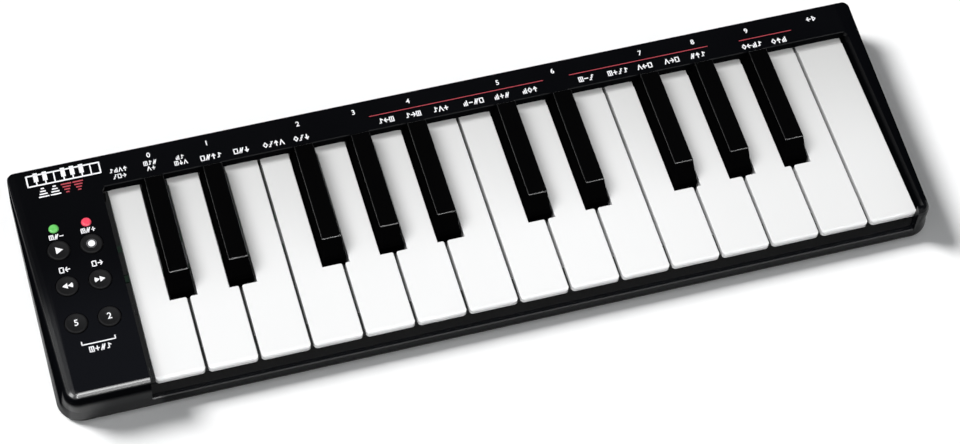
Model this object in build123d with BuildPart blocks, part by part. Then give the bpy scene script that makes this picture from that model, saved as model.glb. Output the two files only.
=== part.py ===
"""25-key midi keyboard: case, keybed, buttons, lamps, boards and fasteners.

Millimetres. The origin is the middle of the footprint on the table. +X runs along the keys from low
to high notes, +Y points to the rear and +Z up.
"""

import os

from build123d import *

# ---------------------------------------------------------------- driving dimensions
LENGTH = 335.0
DEPTH = 99.5
HALF_LENGTH = LENGTH / 2
HALF_DEPTH = DEPTH / 2
FOOT_HEIGHT = 1.5
SEAM_Z = 3.0          # top case meets bottom case
FLOOR_Z = 3.2         # inner floor of the bottom case
CASE_TOP = 18.5
PANEL_THICKNESS = 2.0
CEILING_Z = CASE_TOP - PANEL_THICKNESS
FRONT_CORNER = 9.0
REAR_CORNER = 2.5

# key well, the opening in the top case
WELL_LEFT = -133.85
WELL_RIGHT = 161.65
WELL_REAR = 35.6
RAIL_TOP = 6.5
RAIL_INNER = -47.7
RAIL_RIGHT = 159.15
RAIL_FRONT = -49.53   # face of the front skirt at the height of the rail
CHEEK_FRONT = -46.6   # the right cheek closes in front of the last key

# keys
PITCH = 19.55
KEYS_LEFT = -132.14
KEY_GAP = 1.2
WHITE_TOP = 13.0
WHITE_FRONT = -46.0
LIP_BOTTOM = 10.4
LIP_REAR = -34.0
SKIRT_BOTTOM = 8.0
KEY_WALL = 1.3
PLATE_UNDERSIDE = 11.6
NOTCH_FRONT = -14.7
NOTCH_HALF = 5.2
LEDGE_Y = 34.4
LEDGE_Z = 12.0
NECK_Y = 37.5         # behind it the tails narrow to leave room for the hinge ribs
NECK_INSET = 1.0
TAIL_REAR = 43.5
HEEL_Z = 5.9
BLACK_TOP = 20.5
BLACK_TOP_FRONT = -7.4
BLACK_FRONT = -12.8
BLACK_WAIST_Z = 15.1     # the sides and the front flare out below this height
BLACK_WAIST_FRONT = -12.0
BLACK_REAR = 34.6
BLACK_HALF_TOP = 3.6
BLACK_HALF_WAIST = 3.85
BLACK_HALF_BASE = 4.4
HINGE_Y = 41.0
HINGE_Z = 8.5
ROD_RADIUS = 1.5
KEY_BORE = 1.7

# Each black key stands behind a white key's right edge, shifted a little from the joint between them.
BLACK_SHIFT = {1: -1.6, 2: 1.2, 4: -2.8, 5: -0.3, 6: 2.2}
BLACK_AFTER = [1, 2, 4, 5, 6, 8, 9, 11, 12, 13]
WHITE_COUNT = 15
KEYS_PER_OCTAVE = 7

# control panel
BUTTON_X = (-154.65, -142.45)
BUTTON_Y = (12.4, -3.2, -19.2)
BUTTON_NAMES = (
    ("play_button", "record_button"),
    ("rewind_button", "forward_button"),
    ("setup_button_1", "setup_button_2"),
)
BUTTON_RADIUS = 4.15
BUTTON_HOLE = 4.45
LAMP_Y = 22.2
LAMP_RADIUS = 1.9

# inner parts
CHASSIS_TOP = 4.5
CHASSIS_FRONT = -42.0
CHASSIS_REAR = 45.0
FELT_REAR = -36.0
FELT_RIGHT = 153.4
BOARD_BOTTOM = 6.0
BOARD_TOP = 7.2
SWITCH_TOP = 10.4
USB_X = -150.0
SCREW_RADIUS = 1.1
PILOT_RADIUS = 1.15
CASE_SCREWS = [(-140.6, -41.0), (-160.2, 44.4), (-60.0, 46.4), (60.0, 46.4), (164.5, 41.0), (164.1, -30.0)]
BOARD_SCREWS = [(-159.1, -29.5), (-139.2, -29.5), (-159.1, 36.0), (-139.2, 36.0)]
CHASSIS_SCREWS = [(-104.0, -24.0), (13.2, -24.0), (130.4, -24.0), (-105.0, 24.0), (13.2, 24.0), (130.4, 24.0)]
FOOT_PLACES = [(-155.0, -38.0), (155.0, -38.0), (-155.0, 38.0), (155.0, 38.0)]
FOOT_RADIUS = 5.0


# ---------------------------------------------------------------- helpers
def boundary(index):
    """X of the joint between white key number index and the next one."""
    return KEYS_LEFT + PITCH * index


def black_centre(index):
    """X of the middle of the black key that follows white key number index."""
    return boundary(index) + BLACK_SHIFT[(index - 1) % KEYS_PER_OCTAVE + 1]


def tail_limits(number):
    """Left and right X of a white key's narrow part, beside its black keys."""
    left = boundary(number - 1) + KEY_GAP / 2
    right = boundary(number) - KEY_GAP / 2
    if number - 1 in BLACK_AFTER:
        left = black_centre(number - 1) + NOTCH_HALF
    if number in BLACK_AFTER:
        right = black_centre(number) - NOTCH_HALF
    return left, right


def outline(height, sides, front_y, rear_y, front_radius, rear_radius, right_x=None):
    """A rounded outline at one height.

    sides holds the half widths at the rear, middle and front of the bowed long sides. right_x makes
    the right side straight, at its own X.
    """
    rear_half, middle_half, front_half = sides
    middle_y = (front_y + rear_y) / 2
    with BuildSketch(Plane.XY.offset(height)) as sketch:
        with BuildLine():
            ThreePointArc((-rear_half, rear_y), (-middle_half, middle_y), (-front_half, front_y))
            if right_x is None:
                Line((-front_half, front_y), (front_half, front_y))
                ThreePointArc((front_half, front_y), (middle_half, middle_y), (rear_half, rear_y))
                Line((rear_half, rear_y), (-rear_half, rear_y))
            else:
                Polyline(
                    (-front_half, front_y),
                    (right_x, front_y),
                    (right_x, rear_y),
                    (-rear_half, rear_y),
                )
        make_face()
        fillet(sketch.vertices().group_by(Axis.Y)[0], front_radius)
        fillet(sketch.vertices().group_by(Axis.Y)[-1], rear_radius)
    return sketch.sketch


def block(x_range, y_range, z_range, mode=Mode.ADD):
    """A box between two corners."""
    centre = [(low + high) / 2 for low, high in (x_range, y_range, z_range)]
    with Locations(tuple(centre)):
        Box(
            x_range[1] - x_range[0],
            y_range[1] - y_range[0],
            z_range[1] - z_range[0],
            mode=mode,
        )


def bevel(x_low, x_high, y, z, leg):
    """Cuts a small bevel along an edge parallel to X."""
    with BuildSketch(Plane.YZ.offset(x_low)) as profile:
        with BuildLine():
            Polyline((y - leg, z), (y, z + leg), (y + leg, z), (y, z - leg), close=True)
        make_face()
    extrude(profile.sketch, amount=x_high - x_low, mode=Mode.SUBTRACT)


def post(place, radius, z_range, mode=Mode.ADD):
    """An upright cylinder between two heights."""
    with Locations((place[0], place[1], (z_range[0] + z_range[1]) / 2)):
        Cylinder(radius, z_range[1] - z_range[0], mode=mode)


def save(part, name):
    """Label a finished piece and write it to its own file."""
    part.label = name
    export_step(part, f"parts/{name}.step")


os.makedirs("parts", exist_ok=True)

# ---------------------------------------------------------------- top case
base_sides = (HALF_LENGTH - 0.05, HALF_LENGTH, HALF_LENGTH - 0.05)
foot_line = outline(SEAM_Z, base_sides, -HALF_DEPTH, HALF_DEPTH, FRONT_CORNER, REAR_CORNER)
waist_line = outline(8.0, (167.4, 166.8, 165.7), -49.5, 49.7, 7.0, 2.5)
shoulder_line = outline(15.3, (167.4, 166.3, 164.7), -49.3, 49.7, 4.5, 2.5)
# the fold between the sides and the top is tight at the front and dies out towards the rear
fold_line = outline(16.8, (167.4, 165.9, 164.0), -49.1, 49.7, 4.0, 2.5)
rim_line = outline(17.7, (167.35, 165.2, 163.2), -48.6, 49.7, 3.2, 2.4)
crest_line = outline(18.25, (166.9, 164.0, 162.2), -47.9, 49.6, 2.6, 2.2)
top_line = outline(CASE_TOP, (164.6, 162.3, 160.8), -47.0, 49.4, 2.4, 2.0)
cavity_foot = outline(SEAM_Z, (165.1, 164.8, 164.2), RAIL_INNER, 47.6, 6.0, 2.0, WELL_RIGHT)
cavity_roof = outline(CEILING_Z, (164.9, 163.4, 161.8), -47.1, 47.5, 2.0, 2.0, WELL_RIGHT)

with BuildPart() as top_case:
    loft([foot_line, waist_line], ruled=True)
    loft([waist_line, shoulder_line], ruled=True)
    loft([shoulder_line, fold_line], ruled=True)
    loft([fold_line, rim_line], ruled=True)
    loft([rim_line, crest_line], ruled=True)
    loft([crest_line, top_line], ruled=True)
    loft([cavity_foot, cavity_roof], ruled=True, mode=Mode.SUBTRACT)
    # cheek in front of the last key, wall beside the first key, and lip behind the keys
    block((RAIL_RIGHT, WELL_RIGHT + 0.5), (RAIL_INNER - 0.5, CHEEK_FRONT), (5.0, CEILING_Z + 0.5))
    block((WELL_LEFT - 2.0, WELL_LEFT), (RAIL_INNER - 0.5, WELL_REAR + 1.5), (RAIL_TOP, CEILING_Z + 0.5))
    block((WELL_LEFT - 2.0, WELL_RIGHT + 0.5), (WELL_REAR, WELL_REAR + 1.5), (15.2, CEILING_Z + 0.5))
    with BuildSketch(Plane.XY.offset(RAIL_TOP)) as well:
        with BuildLine():
            Polyline(
                (WELL_LEFT, -60.0),
                (RAIL_RIGHT, -60.0),
                (RAIL_RIGHT, CHEEK_FRONT),
                (WELL_RIGHT, CHEEK_FRONT),
                (WELL_RIGHT, WELL_REAR),
                (WELL_LEFT, WELL_REAR),
                close=True,
            )
        make_face()
        fillet(well.vertices().group_by(Axis.Y)[-1], 1.8)
    extrude(amount=15.0, mode=Mode.SUBTRACT)
    # bevelled edges: behind the keys, and along the front of the rail
    bevel(WELL_LEFT + 1.0, WELL_RIGHT - 1.0, WELL_REAR, CASE_TOP, 0.4)
    bevel(WELL_LEFT, RAIL_RIGHT, RAIL_FRONT, RAIL_TOP, 0.4)
    # screw posts
    for place in CASE_SCREWS[:4]:
        post(place, 2.5, (SEAM_Z + 0.2, CEILING_Z + 0.5))
    for place in CASE_SCREWS:
        post(place, PILOT_RADIUS, (SEAM_Z - 1.0, 12.0), Mode.SUBTRACT)
    # button and lamp holes
    for x in BUTTON_X:
        for y in BUTTON_Y:
            post((x, y), BUTTON_HOLE, (CEILING_Z - 1.0, CASE_TOP + 1.0), Mode.SUBTRACT)
        post((x, LAMP_Y), LAMP_RADIUS + 0.1, (CEILING_Z - 1.0, CASE_TOP + 1.0), Mode.SUBTRACT)
    # window for the usb socket in the rear wall
    block((USB_X - 5.0, USB_X + 5.0), (46.0, 52.0), (6.7, 10.9), Mode.SUBTRACT)
save(top_case.part, "top_case")

# ---------------------------------------------------------------- bottom case
sole_line = outline(FOOT_HEIGHT, (166.75, 166.8, 166.75), -49.1, 49.1, 8.4, 2.0)
edge_line = outline(FOOT_HEIGHT + 0.6, base_sides, -HALF_DEPTH, HALF_DEPTH, FRONT_CORNER, REAR_CORNER)
floor_line = outline(SEAM_Z, (164.8, 164.5, 163.9), -47.4, 47.3, 5.8, 1.8, 161.4)
rib_line = outline(FLOOR_Z, (164.2, 163.9, 163.3), -47.3, 47.2, 5.6, 1.8, 161.3)
rib_inside = outline(FLOOR_Z, (163.0, 162.7, 162.1), -46.3, 46.2, 4.6, 1.0, 158.9)

with BuildPart() as bottom_case:
    loft([sole_line, edge_line], ruled=True)
    loft([edge_line, foot_line], ruled=True)
    # raised floor and locating rib inside the top case
    extrude(floor_line, amount=FLOOR_Z - SEAM_Z)
    extrude(rib_line, amount=1.6)
    extrude(rib_inside, amount=2.0, mode=Mode.SUBTRACT)
    for place in CASE_SCREWS[:4]:
        post(place, 3.2, (FLOOR_Z, 6.0), Mode.SUBTRACT)
    post((CASE_SCREWS[1][0], CASE_SCREWS[1][1]), 3.1, (2.9, FLOOR_Z), Mode.SUBTRACT)
    for place in BOARD_SCREWS:
        post(place, 2.5, (FLOOR_Z - 0.2, BOARD_BOTTOM))
        post(place, 0.85, (FLOOR_Z, BOARD_BOTTOM + 1.0), Mode.SUBTRACT)
    for place in CASE_SCREWS:
        post(place, 1.3, (0.0, 6.0), Mode.SUBTRACT)
        post(place, 2.4, (0.0, FOOT_HEIGHT + 0.8), Mode.SUBTRACT)
    for place in CHASSIS_SCREWS:
        post(place, 0.85, (1.9, 4.0), Mode.SUBTRACT)
save(bottom_case.part, "bottom_case")

# ---------------------------------------------------------------- feet and screws
with BuildPart() as rubber_feet:
    for place in FOOT_PLACES:
        post(place, FOOT_RADIUS, (0.0, FOOT_HEIGHT))
    fillet(rubber_feet.faces().group_by(Axis.Z)[0].edges(), 0.5)
save(rubber_feet.part, "rubber_feet")

with BuildPart() as case_screws:
    for place in CASE_SCREWS:
        post(place, SCREW_RADIUS, (FOOT_HEIGHT + 0.7, 10.5))
        post(place, 2.2, (FOOT_HEIGHT - 0.1, FOOT_HEIGHT + 0.8))
        post(place, 0.7, (0.0, FOOT_HEIGHT + 0.4), Mode.SUBTRACT)
save(case_screws.part, "case_screws")

with BuildPart() as board_screws:
    for place in BOARD_SCREWS:
        post(place, 0.8, (3.6, BOARD_TOP + 0.1))
        post(place, 1.7, (BOARD_TOP, BOARD_TOP + 0.9))
save(board_screws.part, "board_screws")

with BuildPart() as chassis_screws:
    for place in CHASSIS_SCREWS:
        post(place, 0.8, (2.1, CHASSIS_TOP + 0.1))
        post(place, 2.0, (CHASSIS_TOP, CHASSIS_TOP + 0.8))
save(chassis_screws.part, "chassis_screws")

# ---------------------------------------------------------------- keybed chassis
RIB_HALF = 0.6
RIB_PLACES = [boundary(index) for index in (3, 7, 10, 14)] + [WELL_LEFT + 0.9, WELL_RIGHT - 0.9]

with BuildPart() as keybed_frame:
    block((WELL_LEFT + 0.2, 158.3), (FELT_REAR, CHASSIS_REAR), (FLOOR_Z, CHASSIS_TOP))
    block((WELL_LEFT + 0.2, FELT_RIGHT), (CHASSIS_FRONT, FELT_REAR), (FLOOR_Z, CHASSIS_TOP))
    block((157.4, WELL_RIGHT - 0.2), (20.0, CHASSIS_REAR), (FLOOR_Z + 1.8, CHASSIS_TOP + 0.8))
    block((156.4, 158.3), (20.0, CHASSIS_REAR), (CHASSIS_TOP - 0.2, CHASSIS_TOP + 0.8))
    for x in RIB_PLACES:
        rib_foot = CHASSIS_TOP - 0.1 if x < 157.4 else CHASSIS_TOP + 0.6
        block((x - RIB_HALF, x + RIB_HALF), (37.9, 44.1), (rib_foot, 10.8))
    # posts that guide the white keys from inside
    for number in range(1, WHITE_COUNT + 1):
        middle = (boundary(number - 1) + boundary(number)) / 2
        if number in (2, 8, 14):
            middle = middle + 5.0
        block((middle - 1.5, middle + 1.5), (-30.0, -26.0), (CHASSIS_TOP - 0.1, 8.5))
    with Locations(Location((0, HINGE_Y, HINGE_Z), (0, 90, 0))):
        Cylinder(ROD_RADIUS + 0.05, LENGTH, mode=Mode.SUBTRACT)
    for place in CHASSIS_SCREWS:
        post(place, 1.0, (3.0, CHASSIS_TOP + 1.0), Mode.SUBTRACT)
    for place in CASE_SCREWS[:4]:
        post(place, 3.2, (FLOOR_Z - 1.0, CHASSIS_TOP + 1.0), Mode.SUBTRACT)
save(keybed_frame.part, "keybed_frame")

with BuildPart() as key_pivot_rod:
    with Locations(Location(((WELL_LEFT + WELL_RIGHT) / 2, HINGE_Y, HINGE_Z), (0, 90, 0))):
        Cylinder(ROD_RADIUS, WELL_RIGHT - WELL_LEFT - 0.6)
save(key_pivot_rod.part, "key_pivot_rod")

with BuildPart() as front_stop_felt:
    block((WELL_LEFT + 1.5, FELT_RIGHT), (-41.0, FELT_REAR), (CHASSIS_TOP, 6.4))
save(front_stop_felt.part, "front_stop_felt")

with BuildPart() as black_stop_felt:
    block((WELL_LEFT + 1.5, 157.0), (-13.0, -8.0), (CHASSIS_TOP, 5.2))
save(black_stop_felt.part, "black_stop_felt")

with BuildPart() as heel_felt:
    left_x = [WELL_LEFT + 2.0] + [boundary(index) + 1.0 for index in (3, 7, 10, 14)]
    right_x = [boundary(index) - 1.0 for index in (3, 7, 10, 14)] + [155.5]
    for low, high in zip(left_x, right_x):
        block((low, high), (41.8, 43.4), (CHASSIS_TOP, HEEL_Z - 0.1))
save(heel_felt.part, "heel_felt")

# ---------------------------------------------------------------- key contacts
CONTACT_BOARD_TOP = CHASSIS_TOP + 0.8
with BuildPart() as key_contact_board:
    block((WELL_LEFT + 1.0, 157.0), (1.0, 17.0), (CHASSIS_TOP, CONTACT_BOARD_TOP))
save(key_contact_board.part, "key_contact_board")

DOME_Y = 8.0
KEY_MIDDLES = [sum(tail_limits(number)) / 2 for number in range(1, WHITE_COUNT + 1)]
KEY_MIDDLES += [black_centre(index) for index in BLACK_AFTER]
with BuildPart() as key_contact_strip:
    block((-128.0, 156.4), (3.0, 13.0), (CONTACT_BOARD_TOP, CONTACT_BOARD_TOP + 0.4))
    for x in KEY_MIDDLES:
        with Locations((x, DOME_Y, CONTACT_BOARD_TOP + 0.65)):
            Cone(2.4, 1.6, 0.7)
save(key_contact_strip.part, "key_contact_strip")


# ---------------------------------------------------------------- white keys
def make_white_key(number):
    """A hollow white key with a rounded front lip and a hinge block at its tail."""
    left = boundary(number - 1) + KEY_GAP / 2
    right = boundary(number) - KEY_GAP / 2
    tail_left, tail_right = tail_limits(number)
    middle = (tail_left + tail_right) / 2
    with BuildPart() as key:
        with BuildSketch(Plane.XY.offset(HEEL_Z)) as plan:
            with Locations(((left + right) / 2, (WHITE_FRONT + NOTCH_FRONT) / 2)):
                Rectangle(right - left, NOTCH_FRONT - WHITE_FRONT)
            fillet(plan.vertices().group_by(Axis.Y)[0], 1.4)
            fillet(plan.vertices().group_by(Axis.Y)[-1], 0.8)
            with Locations((middle, (NOTCH_FRONT - 2.0 + NECK_Y) / 2)):
                Rectangle(tail_right - tail_left, NECK_Y - NOTCH_FRONT + 2.0)
            with Locations((middle, (NECK_Y - 2.0 + TAIL_REAR) / 2)):
                Rectangle(tail_right - tail_left - 2 * NECK_INSET, TAIL_REAR - NECK_Y + 2.0)
        extrude(amount=WHITE_TOP - HEEL_Z)
        fillet(key.edges().group_by(Axis.Z)[-1], 0.4)
        with BuildSketch(Plane.YZ.offset(left - 1.0)):
            with BuildLine():
                Polyline(
                    (WHITE_FRONT + 1.4, WHITE_TOP),
                    (LEDGE_Y, WHITE_TOP),
                    (LEDGE_Y, LEDGE_Z),
                    (TAIL_REAR, LEDGE_Z),
                    (TAIL_REAR, HEEL_Z),
                    (38.0, HEEL_Z),
                    (36.0, SKIRT_BOTTOM),
                    (LIP_REAR, SKIRT_BOTTOM),
                    (LIP_REAR, LIP_BOTTOM),
                    (WHITE_FRONT, LIP_BOTTOM),
                    (WHITE_FRONT, WHITE_TOP - 1.4),
                )
                RadiusArc((WHITE_FRONT, WHITE_TOP - 1.4), (WHITE_FRONT + 1.4, WHITE_TOP), 1.4)
            make_face()
        extrude(amount=PITCH + 2.0, mode=Mode.INTERSECT)
        # hollow underside
        block(
            (left + KEY_WALL, right - KEY_WALL),
            (WHITE_FRONT + KEY_WALL, NOTCH_FRONT - KEY_WALL),
            (5.0, PLATE_UNDERSIDE),
            Mode.SUBTRACT,
        )
        block(
            (tail_left + KEY_WALL, tail_right - KEY_WALL),
            (NOTCH_FRONT - 2.0 * KEY_WALL, 34.0),
            (5.0, PLATE_UNDERSIDE),
            Mode.SUBTRACT,
        )
        # plunger that presses the contact dome
        block((middle - 1.5, middle + 1.5), (DOME_Y - 1.5, DOME_Y + 1.5), (8.2, PLATE_UNDERSIDE + 0.2))
        with Locations(Location((middle, HINGE_Y, HINGE_Z), (0, 90, 0))):
            Cylinder(KEY_BORE, PITCH, mode=Mode.SUBTRACT)
    return key.part


# ---------------------------------------------------------------- black keys
def make_black_key(index):
    """A hollow black key with a sloped front and tapered sides."""
    middle = black_centre(index)
    neck_half = BLACK_HALF_BASE - NECK_INSET
    with BuildPart() as key:
        with BuildSketch(Plane.XZ.offset(-TAIL_REAR)):
            with BuildLine():
                Polyline(
                    (middle - BLACK_HALF_BASE, HEEL_Z),
                    (middle + BLACK_HALF_BASE, HEEL_Z),
                    (middle + BLACK_HALF_BASE, WHITE_TOP + 0.3),
                    (middle + BLACK_HALF_WAIST, BLACK_WAIST_Z),
                    (middle + BLACK_HALF_TOP, BLACK_TOP),
                    (middle - BLACK_HALF_TOP, BLACK_TOP),
                    (middle - BLACK_HALF_WAIST, BLACK_WAIST_Z),
                    (middle - BLACK_HALF_BASE, WHITE_TOP + 0.3),
                    close=True,
                )
            make_face()
        extrude(amount=TAIL_REAR - BLACK_FRONT)
        with BuildSketch(Plane.YZ.offset(middle - 6.0)):
            with BuildLine():
                Polyline(
                    (BLACK_FRONT, SKIRT_BOTTOM),
                    (BLACK_FRONT, WHITE_TOP + 0.3),
                    (BLACK_WAIST_FRONT, BLACK_WAIST_Z),
                    (BLACK_TOP_FRONT, BLACK_TOP),
                    (BLACK_REAR, BLACK_TOP),
                    (BLACK_REAR, LEDGE_Z),
                    (TAIL_REAR, LEDGE_Z),
                    (TAIL_REAR, HEEL_Z),
                    (38.0, HEEL_Z),
                    (36.0, SKIRT_BOTTOM),
                    close=True,
                )
            make_face()
        extrude(amount=12.0, mode=Mode.INTERSECT)
        # the top and the sloped face have softened edges
        top = key.faces().sort_by(Axis.Z)[-1]
        slope = key.faces().sort_by(Axis.Y).filter_by(lambda face: 0.2 < face.normal_at().Z < 0.9)
        slope = slope.filter_by(lambda face: face.normal_at().Y < -0.3).sort_by(Axis.Z)[-1]
        fillet(list(set(top.edges() + slope.edges())), 0.28)
        # hollow underside
        with BuildSketch(Plane.XZ.offset(-33.2)):
            with BuildLine():
                Polyline(
                    (middle - BLACK_HALF_BASE + 1.2, 5.0),
                    (middle + BLACK_HALF_BASE - 1.2, 5.0),
                    (middle + BLACK_HALF_TOP - 1.1, BLACK_TOP - 1.6),
                    (middle - BLACK_HALF_TOP + 1.1, BLACK_TOP - 1.6),
                    close=True,
                )
            make_face()
        extrude(amount=33.2 + 5.5, mode=Mode.SUBTRACT)
        block((middle - 1.5, middle + 1.5), (DOME_Y - 1.5, DOME_Y + 1.5), (8.2, BLACK_TOP - 1.4))
        # narrow neck between the hinge ribs
        for side in (-1, 1):
            outer = middle + side * (BLACK_HALF_BASE + 1.0)
            inner = middle + side * neck_half
            block((min(outer, inner), max(outer, inner)), (NECK_Y, 45.0), (5.0, 13.0), Mode.SUBTRACT)
        with Locations(Location((middle, HINGE_Y, HINGE_Z), (0, 90, 0))):
            Cylinder(KEY_BORE, PITCH, mode=Mode.SUBTRACT)
    return key.part


for number in range(1, WHITE_COUNT + 1):
    save(make_white_key(number), f"white_key_{number:02d}")
for order, index in enumerate(BLACK_AFTER, start=1):
    save(make_black_key(index), f"black_key_{order:02d}")


# ---------------------------------------------------------------- buttons and lamps
def make_button(x, y):
    """A round cap with a dished face, a flange below the panel and a stem over its switch."""
    with BuildPart() as button:
        post((x, y), BUTTON_RADIUS, (15.4, CASE_TOP + 0.6))
        fillet(button.edges().group_by(Axis.Z)[-1], 0.5)
        with Locations((x, y, CASE_TOP + 0.6 + 19.7)):
            Sphere(20.0, mode=Mode.SUBTRACT)
        post((x, y), BUTTON_RADIUS + 1.0, (15.2, CEILING_Z - 0.3))
        post((x, y), 2.0, (SWITCH_TOP + 1.4, 15.3))
    return button.part


for y, names in zip(BUTTON_Y, BUTTON_NAMES):
    for x, name in zip(BUTTON_X, names):
        save(make_button(x, y), name)

for x, name in zip(BUTTON_X, ("green_lamp", "red_lamp")):
    with BuildPart() as lamp:
        post((x, LAMP_Y), LAMP_RADIUS, (10.0, CASE_TOP + 0.4))
        fillet(lamp.edges().group_by(Axis.Z)[-1], 0.8)
        post((x, LAMP_Y), LAMP_RADIUS + 0.7, (10.0, CEILING_Z - 0.1))
    save(lamp.part, name)

# ---------------------------------------------------------------- control board
with BuildPart() as control_board:
    block((-161.0, -137.0), (-33.0, 46.0), (BOARD_BOTTOM, BOARD_TOP))
    post(CASE_SCREWS[1], 4.2, (5.0, 8.0), Mode.SUBTRACT)
    for place in BOARD_SCREWS:
        post(place, 1.0, (5.0, 8.0), Mode.SUBTRACT)
save(control_board.part, "control_board")

with BuildPart() as button_switches:
    for x in BUTTON_X:
        for y in BUTTON_Y:
            block((x - 3.0, x + 3.0), (y - 3.0, y + 3.0), (BOARD_TOP, SWITCH_TOP))
            post((x, y), 1.6, (SWITCH_TOP - 0.1, SWITCH_TOP + 0.7))
save(button_switches.part, "button_switches")

with BuildPart() as main_chip:
    block((-154.0, -145.0), (27.0, 36.0), (BOARD_TOP, BOARD_TOP + 1.4))
save(main_chip.part, "main_chip")

with BuildPart() as lamp_chips:
    for x in BUTTON_X:
        block((x - 1.6, x + 1.6), (LAMP_Y - 1.2, LAMP_Y + 1.2), (BOARD_TOP, BOARD_TOP + 1.1))
save(lamp_chips.part, "lamp_chips")

with BuildPart() as board_ribbon:
    block((-140.6, -129.0), (4.0, 14.0), (CONTACT_BOARD_TOP, BOARD_BOTTOM - 0.2))
    block((-140.6, -137.6), (4.0, 14.0), (CONTACT_BOARD_TOP, BOARD_BOTTOM))
save(board_ribbon.part, "board_ribbon")

# ---------------------------------------------------------------- usb socket
USB_REAR = 49.2
with BuildPart() as usb_socket:
    block((USB_X - 3.9, USB_X + 3.9), (43.4, USB_REAR), (BOARD_TOP, BOARD_TOP + 2.8))
    fillet(usb_socket.edges().filter_by(Axis.Y), 0.5)
    block((USB_X - 3.5, USB_X + 3.5), (44.6, USB_REAR + 1.0), (BOARD_TOP + 0.4, BOARD_TOP + 2.4), Mode.SUBTRACT)
save(usb_socket.part, "usb_socket")

with BuildPart() as usb_tongue:
    block((USB_X - 2.4, USB_X + 2.4), (44.6, USB_REAR - 0.8), (BOARD_TOP + 1.1, BOARD_TOP + 1.7))
save(usb_tongue.part, "usb_tongue")
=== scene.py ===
"""Looks of a 25-key midi keyboard: materials, printed legends, camera, lights and floor."""

import math

import bpy
from mathutils import Matrix, Vector


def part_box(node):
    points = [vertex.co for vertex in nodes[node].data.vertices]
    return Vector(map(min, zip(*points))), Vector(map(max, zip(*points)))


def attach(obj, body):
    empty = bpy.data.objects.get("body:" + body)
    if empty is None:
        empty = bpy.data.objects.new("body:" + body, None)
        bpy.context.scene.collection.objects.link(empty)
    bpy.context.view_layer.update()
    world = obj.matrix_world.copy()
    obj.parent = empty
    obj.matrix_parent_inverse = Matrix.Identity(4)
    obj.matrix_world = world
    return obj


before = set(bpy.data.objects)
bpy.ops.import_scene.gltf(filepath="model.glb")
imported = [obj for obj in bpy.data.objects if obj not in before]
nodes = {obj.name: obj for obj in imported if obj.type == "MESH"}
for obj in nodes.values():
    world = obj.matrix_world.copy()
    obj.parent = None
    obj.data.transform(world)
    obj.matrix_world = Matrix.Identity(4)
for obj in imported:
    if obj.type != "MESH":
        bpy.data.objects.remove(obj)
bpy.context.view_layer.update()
MM = 0.001

# ---------------------------------------------------------------- places, from the frame
CASE_LOW, CASE_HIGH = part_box("top_case")
PANEL_Z = CASE_HIGH[2]

# edges of the case and keys in millimetres, for the materials that change by place
CASE_FRONT = CASE_LOW[1] / MM
CASE_RIGHT = CASE_HIGH[0] / MM
PANEL_TOP = PANEL_Z / MM
BLACK_KEY_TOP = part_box("black_key_01")[1][2] / MM
LEFT_PANEL_EDGE = -130.0
LEFT_FOLD = -160.9
WELL_LEFT = -133.5
WELL_RIGHT = 161.15
WELL_REAR = 35.6


# ---------------------------------------------------------------- node helpers
def new_material(name):
    """An empty node material, its tree and its principled shader."""
    material = bpy.data.materials.new(name)
    material.use_nodes = True
    return material, material.node_tree, material.node_tree.nodes["Principled BSDF"]


def object_coordinates(tree, scale=(1, 1, 1)):
    """Object coordinates in metres, stretched by scale."""
    coordinates = tree.nodes.new("ShaderNodeTexCoord")
    mapping = tree.nodes.new("ShaderNodeMapping")
    mapping.inputs["Scale"].default_value = scale
    tree.links.new(coordinates.outputs["Object"], mapping.inputs["Vector"])
    return mapping.outputs["Vector"]


def position(tree):
    """The x, y and z of the shaded point, in metres."""
    split = tree.nodes.new("ShaderNodeSeparateXYZ")
    tree.links.new(object_coordinates(tree), split.inputs[0])
    return split.outputs


def noise(tree, vector, scale, detail=2.0, roughness=0.5):
    """Procedural noise on the given coordinates."""
    node = tree.nodes.new("ShaderNodeTexNoise")
    node.inputs["Scale"].default_value = scale
    node.inputs["Detail"].default_value = detail
    node.inputs["Roughness"].default_value = roughness
    tree.links.new(vector, node.inputs["Vector"])
    return node.outputs["Fac"]


def spread(tree, value, low, high):
    """Maps 0..1 to low..high."""
    node = tree.nodes.new("ShaderNodeMapRange")
    node.inputs["To Min"].default_value = low
    node.inputs["To Max"].default_value = high
    tree.links.new(value, node.inputs["Value"])
    return node.outputs["Result"]


def ramp(tree, value, start, end, low=0.0, high=1.0):
    """Maps start..end to low..high, with smooth ends."""
    node = tree.nodes.new("ShaderNodeMapRange")
    node.interpolation_type = "SMOOTHSTEP"
    node.inputs["From Min"].default_value = start
    node.inputs["From Max"].default_value = end
    node.inputs["To Min"].default_value = low
    node.inputs["To Max"].default_value = high
    tree.links.new(value, node.inputs["Value"])
    return node.outputs["Result"]


def fade(tree, value, start, end, low=0.0, high=1.0):
    """A ramp along an axis, with its ends in millimetres."""
    return ramp(tree, value, start * MM, end * MM, low, high)


def combine(tree, operation, first, *others):
    """The product (MULTIPLY), sum (ADD) or largest (MAXIMUM) of the values."""
    for other in others:
        node = tree.nodes.new("ShaderNodeMath")
        node.operation = operation
        tree.links.new(first, node.inputs[0])
        tree.links.new(other, node.inputs[1])
        first = node.outputs[0]
    return first


def blend_colours(tree, factor, first, second):
    """Mixes two colours by a factor."""
    node = tree.nodes.new("ShaderNodeMix")
    node.data_type = "RGBA"
    node.inputs[6].default_value = (*first, 1)
    node.inputs[7].default_value = (*second, 1)
    tree.links.new(factor, node.inputs[0])
    return node.outputs[2]


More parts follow.
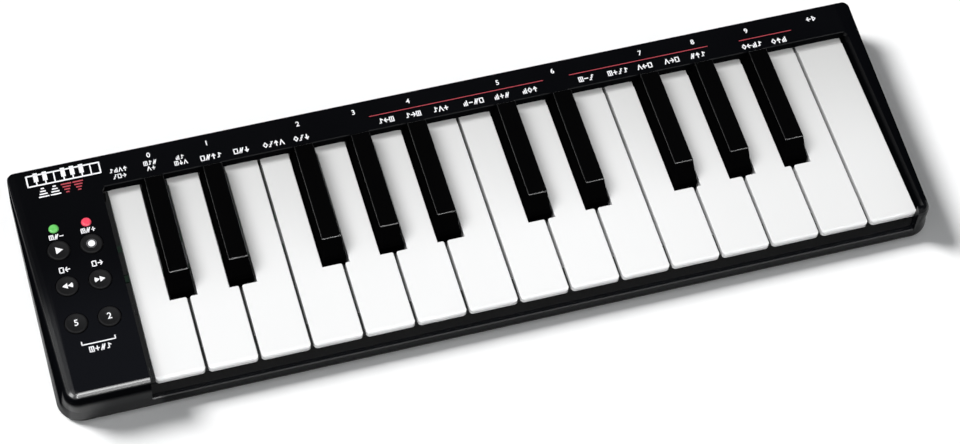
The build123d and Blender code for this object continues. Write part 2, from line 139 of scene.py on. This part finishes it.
def blend_into_base(tree, factor, colour):
    """Mixes a colour into the base colour by a factor."""
    base = tree.nodes["Principled BSDF"].inputs["Base Color"]
    plain = base.links[0].from_socket
    node = tree.nodes.new("ShaderNodeMix")
    node.data_type = "RGBA"
    node.inputs[7].default_value = (*colour, 1)
    tree.links.new(factor, node.inputs[0])
    tree.links.new(plain, node.inputs[6])
    tree.links.new(node.outputs[2], base)


def add_bump(tree, shader, height, strength, distance):
    """Bump from a height value, distance in metres."""
    node = tree.nodes.new("ShaderNodeBump")
    node.inputs["Strength"].default_value = strength
    node.inputs["Distance"].default_value = distance
    tree.links.new(height, node.inputs["Height"])
    tree.links.new(node.outputs["Normal"], shader.inputs["Normal"])


# ---------------------------------------------------------------- kinds of material
DRIFT_SCALE = 38.0
GRAIN_BUMP = 0.35
COAT_ROUGHNESS = 0.06
METAL_LINES = 900.0
LENS_CLOUD = 900.0
LENS_ROUGHNESS = 0.2
FELT_FIBRES = 2600.0
FELT_NAP = 0.0002
INK_GRAIN = 700.0
INK_ROUGHNESS = 0.6


def moulded(name, dark, light, rough, texture_scale, bump, specular=0.5, coat=0.0):
    """Moulded plastic: slight colour drift, uneven gloss and a fine surface texture."""
    material, tree, shader = new_material(name)
    vector = object_coordinates(tree)
    drift = noise(tree, vector, DRIFT_SCALE, 3.0)
    grain = noise(tree, vector, texture_scale, 2.0, 0.6)
    tree.links.new(blend_colours(tree, drift, dark, light), shader.inputs["Base Color"])
    tree.links.new(spread(tree, drift, rough[0], rough[1]), shader.inputs["Roughness"])
    add_bump(tree, shader, grain, GRAIN_BUMP, bump)
    shader.inputs["Specular IOR Level"].default_value = specular
    shader.inputs["Coat Weight"].default_value = coat
    shader.inputs["Coat Roughness"].default_value = COAT_ROUGHNESS
    return material


def metal(name, colour, rough, stretch):
    """Drawn or plated metal with fine lines along the stretched axis."""
    material, tree, shader = new_material(name)
    lines = noise(tree, object_coordinates(tree, stretch), METAL_LINES, 3.0)
    shader.inputs["Metallic"].default_value = 1.0
    darker = [c * 0.75 for c in colour]
    tree.links.new(blend_colours(tree, lines, colour, darker), shader.inputs["Base Color"])
    tree.links.new(spread(tree, lines, rough * 0.7, rough * 1.3), shader.inputs["Roughness"])
    return material


def lamp_lens(name, colour, glow):
    """A lit lens: clear tinted plastic with its own light."""
    material, tree, shader = new_material(name)
    cloud = noise(tree, object_coordinates(tree), LENS_CLOUD)
    tint = blend_colours(tree, cloud, colour, [min(1.0, c * 1.3 + 0.05) for c in colour])
    tree.links.new(tint, shader.inputs["Base Color"])
    tree.links.new(tint, shader.inputs["Emission Color"])
    shader.inputs["Emission Strength"].default_value = glow
    shader.inputs["Roughness"].default_value = LENS_ROUGHNESS
    return material


def felt(name, colour):
    """Pressed felt with a short nap."""
    material, tree, shader = new_material(name)
    fibres = noise(tree, object_coordinates(tree), FELT_FIBRES, 4.0)
    lighter = [c * 1.9 for c in colour]
    tree.links.new(blend_colours(tree, fibres, colour, lighter), shader.inputs["Base Color"])
    shader.inputs["Roughness"].default_value = 0.95
    shader.inputs["Sheen Weight"].default_value = 0.4
    add_bump(tree, shader, fibres, 0.6, FELT_NAP)
    return material


def ink(name, colour):
    """Screen print: opaque ink with small density changes."""
    material, tree, shader = new_material(name)
    density = noise(tree, object_coordinates(tree), INK_GRAIN)
    thinner = [c * 0.88 for c in colour]
    tree.links.new(blend_colours(tree, density, thinner, colour), shader.inputs["Base Color"])
    shader.inputs["Roughness"].default_value = INK_ROUGHNESS
    return material


# ---------------------------------------------------------------- changes by place
CASE_GLOSS = 0.1
# lighter black painted onto the front of the panel's top as a painted sheen
PAINTED_SHEEN_BLACK = (0.0044, 0.0048, 0.0064)
# grey painted into the white keys as painted shade
PAINTED_SHADE_WHITE = (0.53, 0.53, 0.525)
KEY_TOP_GLOSS = 0.12


def vary_case(tree):
    """Polishes the folds of the left panel, keeps walls matt and greys the top of the panel towards its
    front as a painted sheen.
    """
    x, y, z = position(tree)
    on_left_panel = fade(tree, x, LEFT_PANEL_EDGE + 2.0, LEFT_PANEL_EDGE - 2.0)
    near_top = fade(tree, z, PANEL_TOP - 1.5, PANEL_TOP - 0.7)
    front_fold = combine(
        tree, "MULTIPLY", fade(tree, y, CASE_FRONT + 2.9, CASE_FRONT + 2.0), near_top, on_left_panel
    )
    left_fold = combine(
        tree,
        "MULTIPLY",
        fade(tree, x, LEFT_FOLD + 0.5, LEFT_FOLD - 0.5, 0.0, 0.7),
        near_top,
        fade(tree, y, 5.0, -25.0),
    )
    front_skirt = combine(
        tree,
        "MULTIPLY",
        fade(tree, y, CASE_FRONT + 3.0, CASE_FRONT + 1.5),
        fade(tree, z, 14.0, 11.0, 0.0, 0.35),
        on_left_panel,
    )
    polished = combine(tree, "MAXIMUM", front_fold, left_fold, front_skirt)

    well_wall = combine(
        tree,
        "MULTIPLY",
        fade(tree, y, WELL_REAR - 0.5, WELL_REAR - 0.1, 0.0, 0.9),
        fade(tree, x, WELL_LEFT - 0.5, WELL_LEFT + 0.5),
        fade(tree, x, WELL_RIGHT + 0.35, WELL_RIGHT - 0.35),
        fade(tree, z, PANEL_TOP - 0.1, PANEL_TOP - 0.3),
    )
    right_side = fade(tree, x, CASE_RIGHT - 6.6, CASE_RIGHT - 5.6)
    left_side = combine(
        tree,
        "MULTIPLY",
        fade(tree, x, -CASE_RIGHT + 5.5, -CASE_RIGHT + 3.5),
        fade(tree, z, PANEL_TOP - 0.9, PANEL_TOP - 1.8),
        fade(tree, z, 4.0, 7.0),
    )
    behind_front = fade(tree, y, CASE_FRONT + 0.5, CASE_FRONT + 7.0)
    sides = combine(tree, "MULTIPLY", combine(tree, "MAXIMUM", right_side, left_side), behind_front)
    under_fold = combine(
        tree,
        "MULTIPLY",
        fade(tree, z, PANEL_TOP - 0.9, PANEL_TOP - 1.7),
        fade(tree, z, 10.0, 14.5, 0.0, 0.95),
        on_left_panel,
    )
    matt = combine(tree, "MAXIMUM", sides, well_wall, under_fold)

    gloss = combine(
        tree,
        "MULTIPLY",
        ramp(tree, polished, 0.0, 1.0, CASE_GLOSS, 1.0),
        ramp(tree, matt, 0.0, 1.0, 1.0, 0.0),
    )
    tree.links.new(gloss, tree.nodes["Principled BSDF"].inputs["Specular IOR Level"])

    # painted sheen: the panel's top is greyed towards the front, standing in for the light that falls on
    # it there
    painted_sheen = combine(
        tree,
        "MULTIPLY",
        on_left_panel,
        fade(tree, y, 15.0, -30.0),
        fade(tree, z, PANEL_TOP - 0.5, PANEL_TOP - 0.1),
    )
    blend_into_base(tree, painted_sheen, PAINTED_SHEEN_BLACK)


def paint_shade_on_white_keys(tree):
    """Paints shade on the white keys: a little darker towards the rear and the right, where less light
    reaches them.
    """
    x, y, _ = position(tree)
    # painted shade: darker towards the rear and towards the right
    painted_shade = combine(
        tree, "ADD", fade(tree, y, -25.0, 45.0, 0.0, 0.7), fade(tree, x, 20.0, 150.0, 0.0, 0.3)
    )
    blend_into_base(tree, painted_shade, PAINTED_SHADE_WHITE)


def vary_black_keys(tree):
    """Glossy rounded top edges, a duller top and matt flanks."""
    z = position(tree)[2]
    gloss = combine(
        tree,
        "MULTIPLY",
        fade(tree, z, BLACK_KEY_TOP - 0.35, BLACK_KEY_TOP - 0.2),
        fade(tree, z, BLACK_KEY_TOP - 0.05, BLACK_KEY_TOP - 0.01, 1.0, KEY_TOP_GLOSS),
    )
    tree.links.new(gloss, tree.nodes["Principled BSDF"].inputs["Specular IOR Level"])


# ---------------------------------------------------------------- materials
# name: dark and light colour, roughness range, texture scale, bump in metres, specular, coat
PLASTICS = {
    "case_black": (
        (0.0014, 0.0015, 0.0021), (0.0022, 0.0024, 0.0031), (0.22, 0.28), 5200.0, 0.000004, CASE_GLOSS,
    ),
    "base_black": ((0.004, 0.004, 0.0045), (0.006, 0.006, 0.0065), (0.4, 0.5), 3200.0, 0.00001, 0.2),
    "key_white": (
        (0.735, 0.735, 0.735), (0.76, 0.76, 0.76), (0.16, 0.2), 900.0, 0.000003, 0.4, 0.1,
    ),
    "key_black": (
        (0.0008, 0.0008, 0.0009), (0.0013, 0.0013, 0.0014), (0.14, 0.2), 2500.0, 0.000003, 0.14,
    ),
    "button_black": (
        (0.0062, 0.0062, 0.0068), (0.0085, 0.0085, 0.009), (0.45, 0.55), 4200.0, 0.00001, 0.09,
    ),
    "inner_black": ((0.006, 0.006, 0.0065), (0.01, 0.01, 0.011), (0.5, 0.65), 2600.0, 0.00003, 0.4),
    "board_green": ((0.004, 0.022, 0.011), (0.006, 0.03, 0.014), (0.3, 0.4), 1500.0, 0.00001),
    "chip_black": ((0.012, 0.012, 0.013), (0.02, 0.02, 0.02), (0.55, 0.65), 6000.0, 0.00002),
    "dome_grey": ((0.10, 0.10, 0.105), (0.13, 0.13, 0.135), (0.6, 0.7), 3000.0, 0.00001),
    "foot_rubber": ((0.012, 0.012, 0.012), (0.02, 0.02, 0.02), (0.75, 0.85), 2400.0, 0.00005, 0.3),
    "chip_clear": ((0.75, 0.75, 0.68), (0.82, 0.82, 0.76), (0.25, 0.3), 1200.0, 0.00001),
}
plastic = {name: moulded(name, *values) for name, values in PLASTICS.items()}
vary_case(plastic["case_black"].node_tree)
paint_shade_on_white_keys(plastic["key_white"].node_tree)
vary_black_keys(plastic["key_black"].node_tree)

rod_steel = metal("rod_steel", (0.56, 0.56, 0.58), 0.25, (0.02, 1, 1))
screw_steel = metal("screw_steel", (0.09, 0.09, 0.10), 0.35, (1, 1, 0.1))
socket_steel = metal("socket_steel", (0.62, 0.62, 0.64), 0.25, (1, 0.05, 1))
LAMP_GLOW = 0.3
green_lens = lamp_lens("green_lens", (0.07, 0.34, 0.06), LAMP_GLOW)
red_lens = lamp_lens("red_lens", (0.55, 0.025, 0.06), LAMP_GLOW)
felt_grey = felt("felt_grey", (0.012, 0.012, 0.013))

FINISH = {
    "top_case": plastic["case_black"],
    "bottom_case": plastic["base_black"],
    "green_lamp": green_lens,
    "red_lamp": red_lens,
    "control_board": plastic["board_green"],
    "key_contact_board": plastic["board_green"],
    "button_switches": plastic["chip_black"],
    "main_chip": plastic["chip_black"],
    "lamp_chips": plastic["chip_clear"],
    "board_ribbon": plastic["inner_black"],
    "keybed_frame": plastic["inner_black"],
    "key_pivot_rod": rod_steel,
    "key_contact_strip": plastic["dome_grey"],
    "front_stop_felt": felt_grey,
    "black_stop_felt": felt_grey,
    "heel_felt": felt_grey,
    "usb_socket": socket_steel,
    "usb_tongue": plastic["inner_black"],
    "case_screws": screw_steel,
    "board_screws": screw_steel,
    "chassis_screws": screw_steel,
    "rubber_feet": plastic["foot_rubber"],
}


def finish_of(name):
    """The material of a node: keys and buttons by their kind, the rest by name."""
    if name.startswith("white_key"):
        return plastic["key_white"]
    if name.startswith("black_key"):
        return plastic["key_black"]
    if name.endswith("_button") or name.startswith("setup_button"):
        return plastic["button_black"]
    return FINISH[name]


for name, node in nodes.items():
    node.data.materials.clear()
    node.data.materials.append(finish_of(name))

# ---------------------------------------------------------------- floor
FLOOR_HALF = 4.0
FLOOR_DARK = (0.93, 0.93, 0.93)
FLOOR_LIGHT = (0.95, 0.95, 0.95)

floor_material, floor_tree, floor_shader = new_material("paper_white")
paper = noise(floor_tree, object_coordinates(floor_tree), 60.0)
floor_colour = blend_colours(floor_tree, paper, FLOOR_DARK, FLOOR_LIGHT)
floor_tree.links.new(floor_colour, floor_shader.inputs["Base Color"])
floor_shader.inputs["Roughness"].default_value = 0.9
floor_shader.inputs["Specular IOR Level"].default_value = 0.0
floor_mesh = bpy.data.meshes.new("floor")
floor_corners = [(-1, -1), (1, -1), (1, 1), (-1, 1)]
floor_mesh.from_pydata([(x * FLOOR_HALF, y * FLOOR_HALF, 0) for x, y in floor_corners], [], [(0, 1, 2, 3)])
floor_mesh.materials.append(floor_material)
floor = bpy.data.objects.new("floor", floor_mesh)
bpy.context.collection.objects.link(floor)

# ---------------------------------------------------------------- camera
CAMERA_PLACE = (-0.19355, -0.4912, 0.8391)
LOOK_AZIMUTH = 17.23      # degrees from +Y towards +X
LOOK_DOWN = 58.0          # degrees below the horizon
CAMERA_ROLL = 2.63        # degrees
LENS = 98.06
SENSOR_WIDTH = 36.0
CAMERA_SHIFT = (0.11795, -0.0042)

azimuth = math.radians(LOOK_AZIMUTH)
down = math.radians(LOOK_DOWN)
roll = math.radians(CAMERA_ROLL)
forward = Vector((math.sin(azimuth) * math.cos(down), math.cos(azimuth) * math.cos(down), -math.sin(down)))
level_right = Vector((math.cos(azimuth), -math.sin(azimuth), 0.0))
level_up = level_right.cross(forward)
right = level_right * math.cos(roll) + level_up * math.sin(roll)
up = right.cross(forward)
camera_data = bpy.data.cameras.new("camera")
camera_data.lens = LENS
camera_data.sensor_width = SENSOR_WIDTH
camera_data.shift_x, camera_data.shift_y = CAMERA_SHIFT
camera_data.clip_start = 0.01
camera = bpy.data.objects.new("camera", camera_data)
turn_to_view = Matrix((right, up, -forward)).transposed().to_4x4()
camera.matrix_world = Matrix.Translation(CAMERA_PLACE) @ turn_to_view
bpy.context.collection.objects.link(camera)
bpy.context.scene.camera = camera


# ---------------------------------------------------------------- light
def place_light(light, heading):
    """Turns a light to shine along a heading and puts it in the scene."""
    light.rotation_euler = Vector(heading).to_track_quat("-Z", "Y").to_euler()
    bpy.context.collection.objects.link(light)


def strip_light(name, place, target, size, power):
    """A long area light that is only mirrored in the mouldings, so the shadows stay deep."""
    data = bpy.data.lights.new(name, "AREA")
    data.shape = "RECTANGLE"
    data.size, data.size_y = size
    data.energy = power
    light = bpy.data.objects.new(name, data)
    light.location = place
    light.visible_diffuse = False
    place_light(light, Vector(target) - Vector(place))


def sunlight(name, energy, angle, heading, floor_state, shadow=True):
    """A sun that lights only the floor (INCLUDE) or everything but the floor (EXCLUDE)."""
    data = bpy.data.lights.new(name, "SUN")
    data.energy = energy
    data.angle = math.radians(angle)
    data.use_shadow = shadow
    light = bpy.data.objects.new(name, data)
    receivers = bpy.data.collections.new(name + "_receivers")
    receivers.objects.link(floor)
    receivers.collection_objects[0].light_linking.link_state = floor_state
    light.light_linking.receiver_collection = receivers
    place_light(light, heading)


sunlight("floor_sun", 3.8, 20.0, (0.88, -0.64, -1.0), "INCLUDE")
sunlight("floor_fill", 0.28, 20.0, (0.0, 0.0, -1.0), "INCLUDE", False)
sunlight("key_sun", 2.6, 36.0, (0.62, -0.06, -1.0), "EXCLUDE")
sunlight("fill_sun", 1.3, 20.0, (0.05, 0.05, -1.0), "EXCLUDE", False)
STRIP_TARGET = (0.0, -0.05, 0.01)
strip_light("front_strip", (0.15, -0.68, 0.80), STRIP_TARGET, (1.3, 0.03), 7.0)
strip_light("low_front_strip", (0.15, -0.98, 0.50), STRIP_TARGET, (1.3, 0.05), 6.0)

# even studio light with a dark flag where the flat black top would mirror it
FLAG_DIRECTION = (0.19, 0.50, 0.845)
FLAG_EDGE = 52            # degrees from its middle, where the flag begins
FLAG_CORE = 34            # degrees from its middle, where it is darkest
FLAG_LIGHT = 0.02
AMBIENT_LIGHT = 0.38
AMBIENT_COLOUR = (0.96, 0.985, 1.0, 1)

world = bpy.data.worlds.new("studio")
bpy.context.scene.world = world
world.use_nodes = True
sky = world.node_tree
direction = sky.nodes.new("ShaderNodeTexCoord")
towards_flag = sky.nodes.new("ShaderNodeVectorMath")
towards_flag.operation = "DOT_PRODUCT"
towards_flag.inputs[1].default_value = FLAG_DIRECTION
sky.links.new(direction.outputs["Generated"], towards_flag.inputs[0])
flag = sky.nodes.new("ShaderNodeMapRange")
flag.inputs["From Min"].default_value = math.cos(math.radians(FLAG_EDGE))
flag.inputs["From Max"].default_value = math.cos(math.radians(FLAG_CORE))
flag.inputs["To Min"].default_value = AMBIENT_LIGHT
flag.inputs["To Max"].default_value = FLAG_LIGHT
sky.links.new(towards_flag.outputs["Value"], flag.inputs["Value"])
sky.links.new(flag.outputs["Result"], sky.nodes["Background"].inputs["Strength"])
sky.nodes["Background"].inputs["Color"].default_value = AMBIENT_COLOUR

# ---------------------------------------------------------------- printed marks
PRINT_RISE = 0.00003
PRINT_TOP = PANEL_Z + PRINT_RISE
ROUND_STEPS = 24
FIGURE_OFFSET = 0.00004   # thickens the figures
white_ink = ink("white_ink", (0.86, 0.86, 0.88))
grey_ink = ink("grey_ink", (0.20, 0.20, 0.21))
red_ink = ink("red_ink", (0.42, 0.035, 0.055))


def printed(name, faces, material, body="case", top=PRINT_TOP, thickness=PRINT_RISE):
    """One thin printed piece made of flat polygons given in millimetres."""
    vertices = []
    polygons = []
    for outline in faces:
        count = len(outline)
        first = len(vertices)
        vertices += [(x * MM, y * MM, top) for x, y in outline]
        vertices += [(x * MM, y * MM, top - thickness) for x, y in outline]
        polygons.append(list(range(first, first + count)))
        for side in range(count):
            after = (side + 1) % count
            polygons.append([first + side, first + count + side, first + count + after, first + after])
    mesh = bpy.data.meshes.new(name)
    mesh.from_pydata(vertices, [], polygons)
    mesh.materials.append(material)
    piece = bpy.data.objects.new(name, mesh)
    bpy.context.collection.objects.link(piece)
    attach(piece, body)


def stroke(points, width):
    """Flat quads along a line through the points."""
    quads = []
    for (x0, y0), (x1, y1) in zip(points, points[1:]):
        length = math.hypot(x1 - x0, y1 - y0)
        along = ((x1 - x0) / length * width / 2, (y1 - y0) / length * width / 2)
        across = (-along[1], along[0])
        quads.append([
            (x0 - along[0] - across[0], y0 - along[1] - across[1]),
            (x1 + along[0] - across[0], y1 + along[1] - across[1]),
            (x1 + along[0] + across[0], y1 + along[1] + across[1]),
            (x0 - along[0] + across[0], y0 - along[1] + across[1]),
        ])
    return quads


def disc(radius):
    """A many-sided polygon round the origin."""
    turns = [2 * math.pi * step / ROUND_STEPS for step in range(ROUND_STEPS)]
    return [(radius * math.cos(turn), radius * math.sin(turn)) for turn in turns]


def ring(radius, width):
    """Quads round a circle."""
    points = disc(radius)
    return stroke(points + points[:1], width)


# little pictures, drawn in a square from 0 to 1
GLYPHS = {
    "up": [[(0.5, 0.0), (0.5, 1.0)], [(0.12, 0.6), (0.5, 1.0), (0.88, 0.6)]],
    "down": [[(0.5, 1.0), (0.5, 0.0)], [(0.12, 0.4), (0.5, 0.0), (0.88, 0.4)]],
    "left": [[(1.0, 0.5), (0.0, 0.5)], [(0.4, 0.1), (0.0, 0.5), (0.4, 0.9)]],
    "right": [[(0.0, 0.5), (1.0, 0.5)], [(0.6, 0.1), (1.0, 0.5), (0.6, 0.9)]],
    "plus": [[(0.1, 0.5), (0.9, 0.5)], [(0.5, 0.1), (0.5, 0.9)]],
    "minus": [[(0.1, 0.5), (0.9, 0.5)]],
    "bars": [[(0.1, 0.0), (0.1, 0.45)], [(0.5, 0.0), (0.5, 0.75)], [(0.9, 0.0), (0.9, 1.0)]],
    "saw": [[(0.0, 0.0), (0.5, 1.0), (0.5, 0.0), (1.0, 1.0)]],
    "peak": [[(0.0, 0.0), (0.5, 1.0), (1.0, 0.0)]],
    "box": [[(0.05, 0.0), (0.95, 0.0), (0.95, 1.0), (0.05, 1.0), (0.05, 0.0)]],
    "steps": [[(0.0, 0.0), (0.35, 0.0), (0.35, 0.5), (0.7, 0.5), (0.7, 1.0), (1.0, 1.0)]],
    "note": [[(0.15, 0.08), (0.5, 0.12), (0.5, 1.0), (0.95, 0.75)]],
    "play": [[(0.15, 0.0), (0.9, 0.5), (0.15, 1.0), (0.15, 0.0)]],
    "diamond": [[(0.5, 0.0), (1.0, 0.5), (0.5, 1.0), (0.0, 0.5), (0.5, 0.0)]],
    "keys": [[(0.0, 0.0), (1.0, 0.0), (1.0, 1.0), (0.0, 1.0), (0.0, 0.0)], [(0.5, 0.0), (0.5, 1.0)]],
}
GLYPH_HEIGHT = 2.0
GLYPH_STEP = 2.1
GLYPH_WIDTH = 1.5
GLYPH_LINE = 0.42


def legend(name, centre, glyphs, height=GLYPH_HEIGHT, line=GLYPH_LINE):
    """A row of little pictures centred on a point, all in millimetres."""
    scale = height / GLYPH_HEIGHT
    left = centre[0] - (GLYPH_STEP * (len(glyphs) - 1) + GLYPH_WIDTH) * scale / 2
    faces = []
    for order, glyph in enumerate(glyphs):
        start = left + order * GLYPH_STEP * scale
        for points in GLYPHS[glyph]:
            placed = [(start + x * GLYPH_WIDTH * scale, centre[1] + (y - 0.5) * height) for x, y in points]
            faces += stroke(placed, line)
    printed(name, faces, white_ink)


def number(name, text, centre, size, body="case", top=PRINT_TOP):
    """A printed figure."""
    curve = bpy.data.curves.new(name, "FONT")
    curve.body = text
    curve.size = size * MM
    curve.align_x = "CENTER"
    curve.align_y = "CENTER"
    curve.extrude = PRINT_RISE / 2
    curve.offset = FIGURE_OFFSET
    curve.materials.append(white_ink)
    piece = bpy.data.objects.new(name, curve)
    piece.location = (centre[0] * MM, centre[1] * MM, top - PRINT_RISE / 2)
    bpy.context.collection.objects.link(piece)
    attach(piece, body)


# figures above the keys, and two little pictures at the end of their row
FIGURE_Y = 45.3
FIGURE_SIZE = 3.0
FIGURES = [
    ("0", -113.95), ("1", -91.65), ("2", -56.25), ("3", -34.45), ("4", -12.95),
    ("5", 22.65), ("6", 44.65), ("7", 80.05), ("8", 101.55), ("9", 123.55),
]
for figure, x in FIGURES:
    number(f"figure_{figure}", figure, (x, FIGURE_Y), FIGURE_SIZE)
legend("figure_enter", (150.35, 44.7), ["left", "play"], 2.0, 0.4)

# rows of little pictures above the keys; a and b are the two lines of one legend, drawn smaller
SMALL_HEIGHT = 1.65
SMALL_LINE = 0.34
LEGEND_ROWS = [
    ("row_00a", -126.25, 41.7, ["note", "bars", "peak", "up"]),
    ("row_00b", -126.25, 38.9, ["steps", "box", "right"]),
    ("row_01a", -114.05, 41.9, ["keys", "note", "saw"]),
    ("row_01b", -114.05, 39.5, ["peak", "plus"]),
    ("row_02a", -102.75, 41.6, ["bars", "note"]),
    ("row_02b", -102.75, 39.2, ["keys", "down", "peak"]),
    ("row_03", -91.35, 39.0, ["box", "saw", "up", "note"]),
    ("row_04", -79.65, 39.0, ["box", "saw", "down"]),
    ("row_05", -67.15, 39.0, ["diamond", "steps", "up", "peak"]),
    ("row_06", -56.35, 39.0, ["diamond", "steps", "down"]),
    ("row_07", -23.15, 39.0, ["note", "left", "keys"]),
    ("row_08", -12.55, 39.0, ["note", "right", "keys"]),
    ("row_09", -1.65, 39.0, ["note", "peak", "plus"]),
    ("row_10", 11.25, 39.0, ["bars", "minus", "saw", "box"]),
    ("row_11", 22.55, 39.0, ["bars", "plus", "saw"]),
    ("row_12", 33.75, 39.0, ["bars", "diamond", "up"]),
    ("row_13", 56.35, 39.0, ["keys", "minus", "steps"]),
    ("row_14", 69.15, 39.0, ["keys", "plus", "steps", "note"]),
    ("row_15", 80.05, 39.0, ["peak", "left", "box"]),
    ("row_16", 91.05, 39.0, ["peak", "right", "box"]),
    ("row_17", 101.65, 39.0, ["saw", "up", "note"]),
    ("row_18", 123.55, 38.3, ["diamond", "left", "bars", "note"]),
    ("row_19", 134.55, 38.0, ["diamond", "up", "bars"]),
]
for name, x, y, glyphs in LEGEND_ROWS:
    if name[-1] in "ab":
        legend(name, (x, y), glyphs, SMALL_HEIGHT, SMALL_LINE)
    else:
        legend(name, (x, y), glyphs)

# red lines that group the pictures
RED_LINE = 0.3
GROUP_LINES = [(-28.95, 39.75, 42.1), (50.55, 106.55, 42.1), (119.45, 140.65, 41.5)]
for order, (x0, x1, y) in enumerate(GROUP_LINES):
    printed(f"group_line_{order}", stroke([(x0, y), (x1, y)], RED_LINE), red_ink)

# mark at the rear left: a strip of eight piano keys over four stacks of bars
MARK_LEFT = -160.2
MARK_RIGHT = -132.7
MARK_LOW = 42.1
MARK_TOP = 46.8
MARK_KEYS = 8
NO_BLACK_KEY = (3, 7)     # gaps between two keys without a black key
mark_frame = [
    (MARK_LEFT, MARK_LOW),
    (MARK_RIGHT, MARK_LOW),
    (MARK_RIGHT, MARK_TOP),
    (MARK_LEFT, MARK_TOP),
    (MARK_LEFT, MARK_LOW),
]
mark_faces = stroke(mark_frame, 0.6)
for order in range(1, MARK_KEYS):
    x = MARK_LEFT + order * (MARK_RIGHT - MARK_LEFT) / MARK_KEYS
    if order in NO_BLACK_KEY:
        mark_faces += stroke([(x, MARK_LOW), (x, MARK_TOP)], 0.5)
    else:
        mark_faces += stroke([(x, MARK_LOW), (x, 44.4)], 0.5)
        mark_faces += stroke([(x, 44.6), (x, MARK_TOP)], 1.7)
printed("mark_keys", mark_faces, white_ink)

STACK_LEFT = -157.2
STACK_STEP = 4.45
STACK_ROWS = (36.8, 38.0, 39.2, 40.4)
STACK_INSET = 0.45
for order in range(4):
    left = STACK_LEFT + order * STACK_STEP
    upright = order < 2
    bars = []
    for row, y in enumerate(STACK_ROWS):
        inset = STACK_INSET * (row if upright else len(STACK_ROWS) - 1 - row)
        bars += stroke([(left + 0.3 + inset, y), (left + 3.7 - inset, y)], 0.55)
    printed(f"mark_bars_{order}", bars, white_ink if upright else red_ink)

# marks of the lamps and buttons
legend("lamp_minus", (-154.35, 18.5), ["keys", "saw", "minus"], 1.8, 0.4)
legend("lamp_plus", (-142.45, 18.6), ["keys", "saw", "plus"], 1.8, 0.4)
legend("rewind_mark", (-154.25, 3.9), ["box", "left"], 2.1)
legend("forward_mark", (-142.15, 3.9), ["box", "right"], 2.1)
bracket = [(-154.45, -27.3), (-154.45, -28.5), (-142.25, -28.5), (-142.25, -27.3)]
printed("bracket", stroke(bracket, 0.45), white_ink)
legend("bracket_mark", (-148.25, -30.9), ["keys", "plus", "saw", "note"])

# figures and symbols on the button caps, in the shallow dish
CAP_Z = PANEL_Z + 0.00042
CAP_PRINT = 0.00012
BUTTONS = (
    "play_button", "record_button", "rewind_button", "forward_button", "setup_button_1", "setup_button_2",
)
BUTTON_CENTRES = {}       # in millimetres
for name in BUTTONS:
    low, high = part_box(name)
    BUTTON_CENTRES[name] = ((low[0] + high[0]) / 2 / MM, (low[1] + high[1]) / 2 / MM)


def cap_mark(name, button, faces, material=white_ink):
    """A printed symbol on a button cap."""
    x, y = BUTTON_CENTRES[button]
    moved = [[(x + px, y + py) for px, py in outline] for outline in faces]
    printed(name, moved, material, button, CAP_Z, CAP_PRINT)


cap_mark("play_symbol", "play_button", [[(-1.1, -1.5), (1.6, 0.0), (-1.1, 1.5)]])
cap_mark("record_dot", "record_button", [disc(1.35)])
cap_mark("record_ring", "record_button", ring(1.75, 0.25), grey_ink)
cap_mark("rewind_symbol", "rewind_button", [
    [(0.1, -1.2), (0.1, 1.2), (-1.9, 0)],
    [(2.1, -1.2), (2.1, 1.2), (0.1, 0)],
])
cap_mark("forward_symbol", "forward_button", [
    [(-0.1, -1.2), (1.9, 0), (-0.1, 1.2)],
    [(-2.1, -1.2), (-0.1, 0), (-2.1, 1.2)],
])
for text, button in (("5", "setup_button_1"), ("2", "setup_button_2")):
    number(f"cap_figure_{text}", text, BUTTON_CENTRES[button], 3.6, button, CAP_Z)

bpy.context.scene.view_settings.view_transform = "Standard"
bpy.context.scene.view_settings.look = "None"
